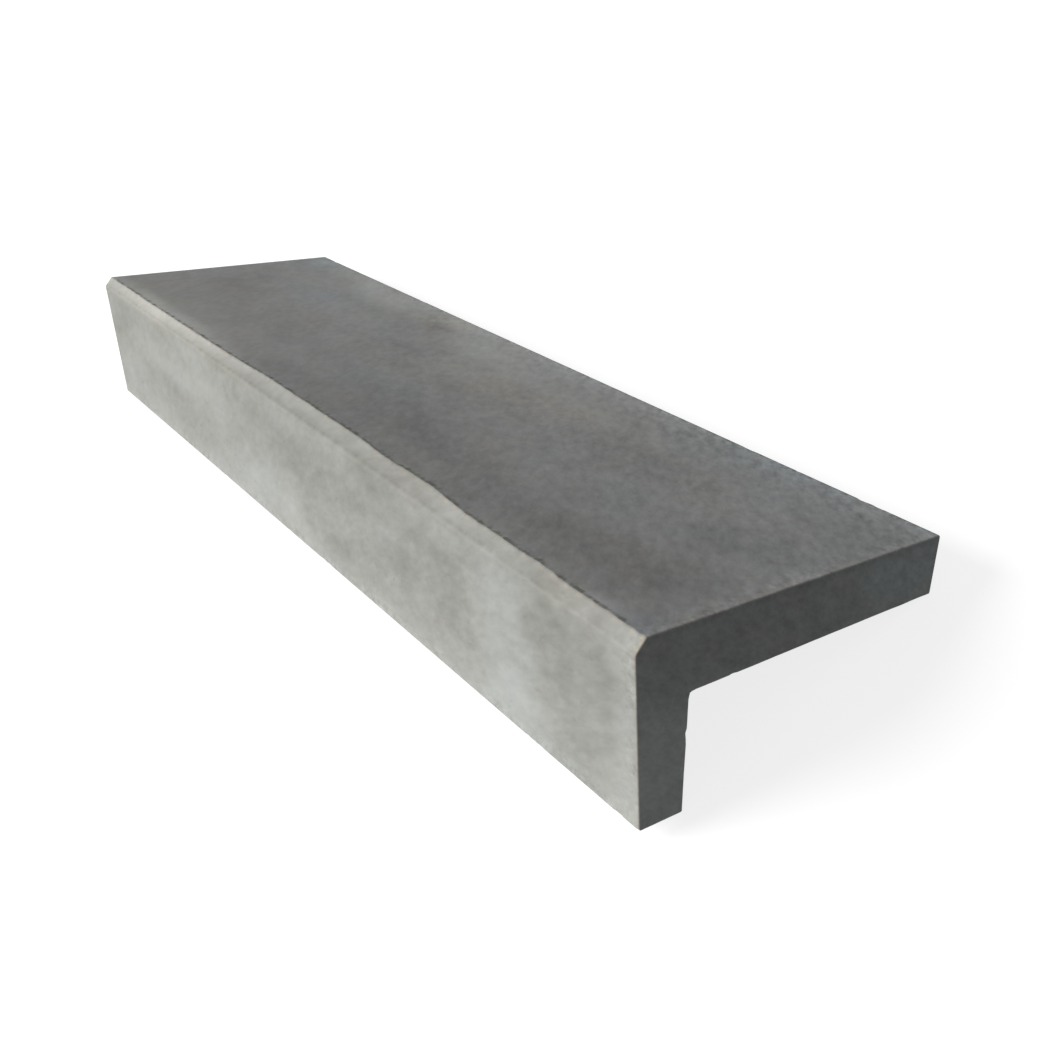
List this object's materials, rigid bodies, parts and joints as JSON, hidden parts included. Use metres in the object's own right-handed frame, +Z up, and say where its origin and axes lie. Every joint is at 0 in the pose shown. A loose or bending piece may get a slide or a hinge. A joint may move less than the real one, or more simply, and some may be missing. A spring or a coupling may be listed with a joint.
{
  "type": "l-shaped concrete step",
  "caption": "L-shaped precast concrete step: a slab tread with a raked riser under its bevelled nosing, cast whole, resting on its foot and the tread's back edge.",
  "frame": {"origin": "on the ground below the middle of the step's box, as the step comes to rest unheld", "axes": "+X along the nosing, +Y from the riser to the tread's back edge, +Z up; the walking face leans back 22.4 degrees"},
  "size_m": [1, 0.316, 0.1571],
  "materials": {
    "concrete": "cast fair-faced concrete, cloudy and matt, with a darker fine-grained walking face"
  },
  "bodies": {
    "root": {"step": "concrete"}
  },
  "joints": []
}
